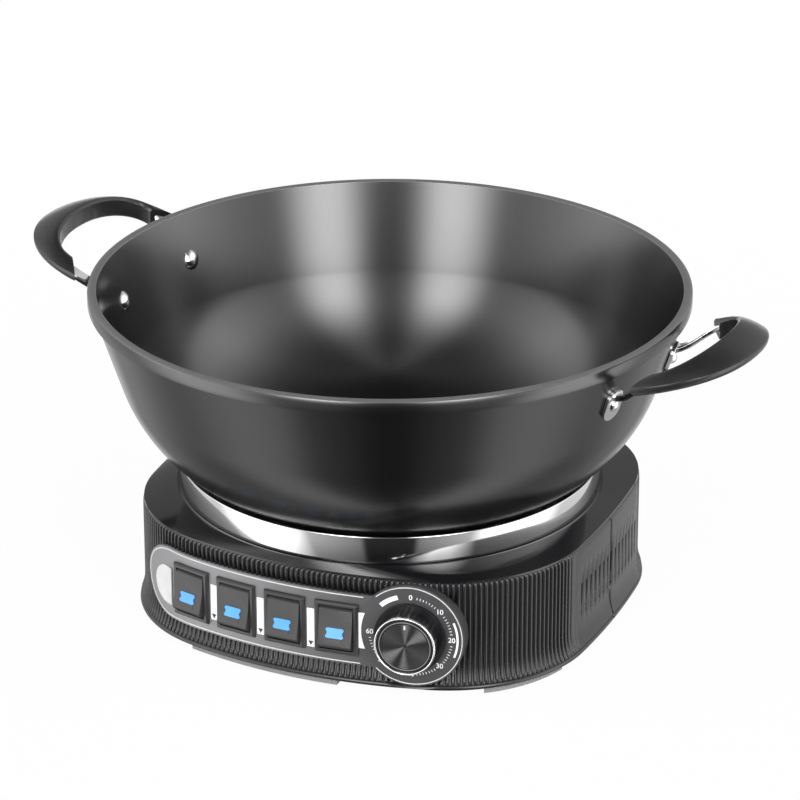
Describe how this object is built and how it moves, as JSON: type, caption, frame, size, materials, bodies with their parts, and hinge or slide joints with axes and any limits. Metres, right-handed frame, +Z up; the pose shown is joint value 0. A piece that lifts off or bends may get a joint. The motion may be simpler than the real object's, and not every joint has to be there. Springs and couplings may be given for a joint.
{
  "type": "electric wok",
  "caption": "Electric wok: deep coated wok with two loop handles, lifting off a ribbed base with rocker switches and a timer dial.",
  "frame": {"origin": "on the floor, below the centre of the wok's rim", "axes": "+X to the right and along the handles, +Y to the back, +Z up; the control panel faces -Y"},
  "size_m": [0.4484, 0.34, 0.2011],
  "materials": {
    "housing": "satin moulded plastic with fine vertical ribs",
    "panel": "satin dark grey",
    "deck": "gloss black",
    "stainless": "polished stainless steel",
    "plate": "cast and machined",
    "element": "oxidised tube",
    "inner_metal": "plain zinc coat",
    "inner_plastic": "plain moulded plastic",
    "rubber": "matt",
    "switch": "fine spark texture",
    "lens": "translucent blue",
    "knob": "gloss black with fine rings",
    "chrome": "bright chrome",
    "wok": "dark semi-gloss non-stick coat on cast aluminium",
    "grip": "satin black heat-proof plastic"
  },
  "bodies": {
    "base": {"base_housing": "housing", "control_panel": "panel", "top_deck": "deck", "support_ring": "stainless", "hot_plate": "plate", "heating_element": "element", "reflector_dish": "inner_metal", "plate_posts": "inner_metal", "thermostat": "inner_plastic", "thermal_fuse": "inner_metal", "bottom_cover": "housing", "rubber_feet": "rubber", "cover_screws": "inner_metal", "timer_body": "inner_plastic", "power_inlet": "switch", "inlet_pins": "chrome", "terminal_block": "inner_plastic", "switch_frame_1": "switch", "switch_frame_2": "switch", "switch_frame_3": "switch", "switch_frame_4": "switch"},
    "wok": {"wok_shell": "wok", "strap_rivets": "stainless", "handle_grip_left": "grip", "handle_strap_left_front": "stainless", "handle_strap_left_rear": "stainless", "handle_grip_right": "grip", "handle_strap_right_front": "stainless", "handle_strap_right_rear": "stainless"},
    "timer_dial": {"timer_spindle": "inner_metal", "timer_knob": "knob", "knob_front_ring": "chrome", "knob_inner_ring": "chrome", "knob_cap": "knob"},
    "rocker_1_body": {"rocker_1": "switch", "rocker_lens_1": "lens"},
    "rocker_2_body": {"rocker_2": "switch", "rocker_lens_2": "lens"},
    "rocker_3_body": {"rocker_3": "switch", "rocker_lens_3": "lens"},
    "rocker_4_body": {"rocker_4": "switch", "rocker_lens_4": "lens"}
  },
  "joints": [
    {"name": "wok_lift", "type": "slide", "parent": "base", "child": "wok", "axis": [0, 0, 1], "range_m": [0, 0.12]},
    {"name": "rocker_1_tilt", "type": "hinge", "parent": "base", "child": "rocker_1_body", "pos_m": [-0.07155, -0.11325, 0.0377], "axis": [0.9614, -0.2752, 0], "range_deg": [0, 20]},
    {"name": "rocker_2_tilt", "type": "hinge", "parent": "base", "child": "rocker_2_body", "pos_m": [-0.04154, -0.11975, 0.0377], "axis": [0.9879, -0.1553, 0], "range_deg": [0, 20]},
    {"name": "rocker_3_tilt", "type": "hinge", "parent": "base", "child": "rocker_3_body", "pos_m": [-0.01097, -0.12277, 0.0377], "axis": [0.9992, -0.041, 0], "range_deg": [0, 20]},
    {"name": "rocker_4_tilt", "type": "hinge", "parent": "base", "child": "rocker_4_body", "pos_m": [0.01974, -0.12227, 0.0377], "axis": [0.9973, 0.0738, 0], "range_deg": [0, 20]},
    {"name": "timer_turn", "type": "hinge", "parent": "base", "child": "timer_dial", "pos_m": [0.06106, -0.11655, 0.0377], "axis": [-0.1392, 0.9903, 0], "range_deg": [-45, 270]}
  ]
}
